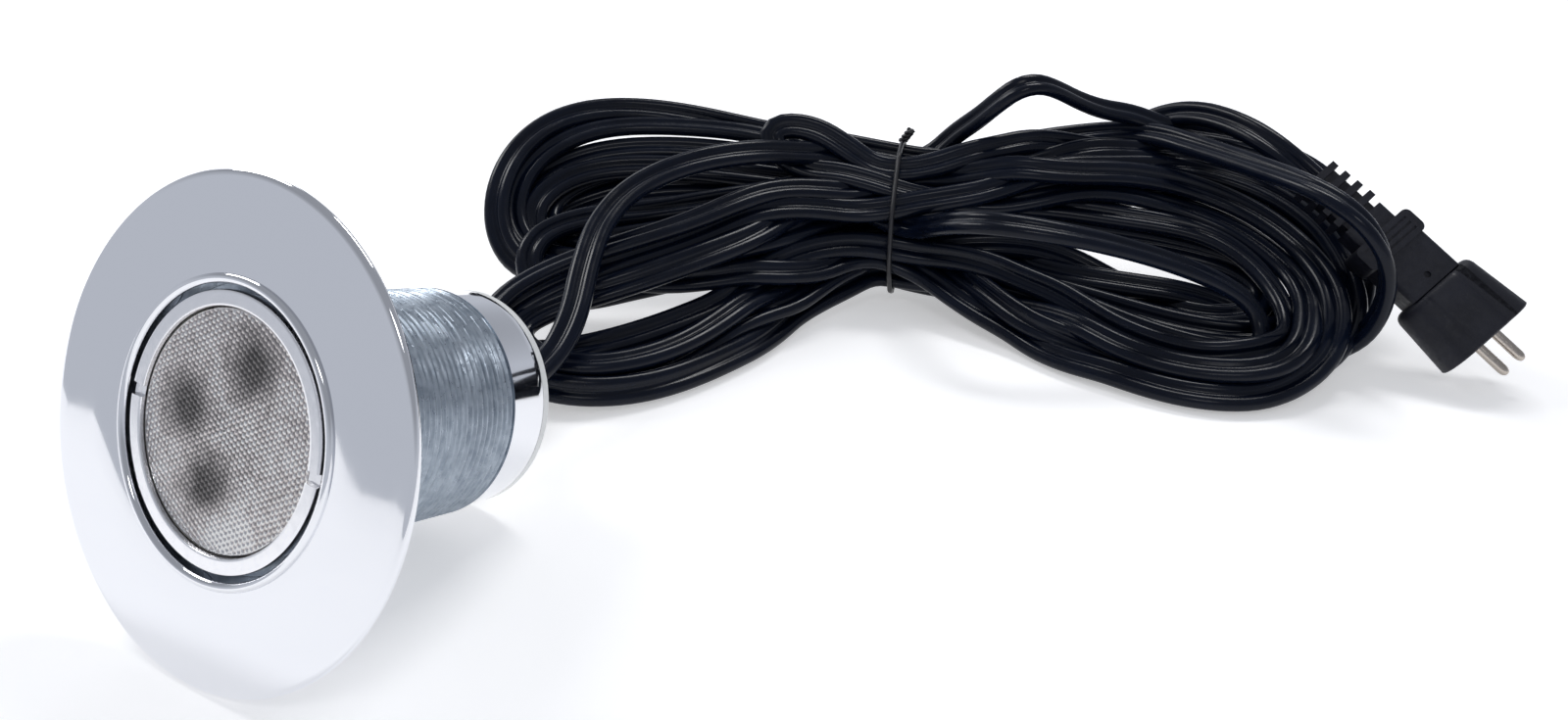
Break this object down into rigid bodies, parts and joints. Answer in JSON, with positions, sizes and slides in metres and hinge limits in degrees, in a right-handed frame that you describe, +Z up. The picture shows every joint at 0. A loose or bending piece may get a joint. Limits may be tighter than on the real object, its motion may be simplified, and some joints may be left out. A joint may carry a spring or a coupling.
{
  "type": "underwater pool light",
  "caption": "Round underwater light with a chrome faceplate, beaded lens in a slotted screw ring, threaded housing, and a flat cord tied in a hank with a two-pin plug.",
  "frame": {"origin": "on the surface the light rests on, under the middle of the light's own bounding box, cord left out", "axes": "+Z up; the lit face looks along -Y and up by 20.9 degrees; +X to the right seen from the front, across the faceplate"},
  "size_m": [0.3014, 0.2893, 0.0908],
  "materials": {
    "chrome_plate": "polished chrome plate",
    "zinc_thread": "dull blue-grey zinc coated thread",
    "chrome_band": "polished chrome band",
    "seal_rubber": "black seal rubber",
    "white_plastic": "off-white satin plastic",
    "gland_rubber": "black rubber",
    "satin_ring": "satin chrome ring",
    "washer_plastic": "pale washer",
    "lens_clear": "clear beaded lens",
    "gasket_rubber": "grey flat gasket",
    "holder_plastic": "silvered optic holder",
    "optic_clear": "clear optic",
    "led_ceramic": "LED package with phosphor dome",
    "board_white": "white solder mask board",
    "screw_steel": "small steel screws",
    "sink_aluminium": "bare aluminium heat sink",
    "standoff_brass": "brass posts",
    "driver_green": "green driver board",
    "capacitor_can": "sleeved capacitor can",
    "inductor_ferrite": "wound ferrite",
    "rectifier_epoxy": "moulded component",
    "wire_insulation": "wire insulation",
    "crimp_tin": "tinned crimp sleeves",
    "cord_vinyl": "glossy blue-black vinyl cord",
    "tie_vinyl": "black coated tie wire",
    "plug_plastic": "matte blue-black moulded plug",
    "pin_nickel": "nickel plated pins"
  },
  "bodies": {
    "light": {"faceplate": "chrome_plate", "threaded_body": "zinc_thread", "rear_barrel": "chrome_band", "barrel_seal": "seal_rubber", "rear_disc": "white_plastic", "disc_seal": "seal_rubber", "cord_gland": "gland_rubber", "lens": "lens_clear", "lens_gasket": "gasket_rubber", "optic_holder": "holder_plastic", "led_board": "board_white", "board_screws": "screw_steel", "heat_sink": "sink_aluminium", "standoffs": "standoff_brass", "driver_board": "driver_green", "capacitor": "capacitor_can", "inductor": "inductor_ferrite", "rectifier": "rectifier_epoxy", "inner_cord": "wire_insulation", "splices": "crimp_tin", "cord_lead": "cord_vinyl", "cord_tail": "cord_vinyl", "cord_hank": "cord_vinyl", "wire_tie": "tie_vinyl", "plug_skirt": "plug_plastic", "plug_neck": "plug_plastic", "plug_relief": "plug_plastic", "plug_pins": "pin_nickel", "collimator_1": "optic_clear", "led_1": "led_ceramic", "collimator_2": "optic_clear", "led_2": "led_ceramic", "collimator_3": "optic_clear", "led_3": "led_ceramic"},
    "washer": {"slip_washer": "washer_plastic"},
    "ring": {"lens_ring": "satin_ring"}
  },
  "joints": [
    {"name": "ring_lift", "type": "slide", "parent": "light", "child": "washer", "axis": [0, -0.9344, 0.3563], "range_m": [0, 0.005]},
    {"name": "ring_turn", "type": "hinge", "parent": "washer", "child": "ring", "pos_m": [0, -0.02625, 0.04571], "axis": [0, -0.9344, 0.3563], "range_deg": [0, 1800]}
  ],
  "couplings": [
    {"joint": "ring_lift", "follows": "ring_turn", "m_per_rad": 0.00015915}
  ]
}
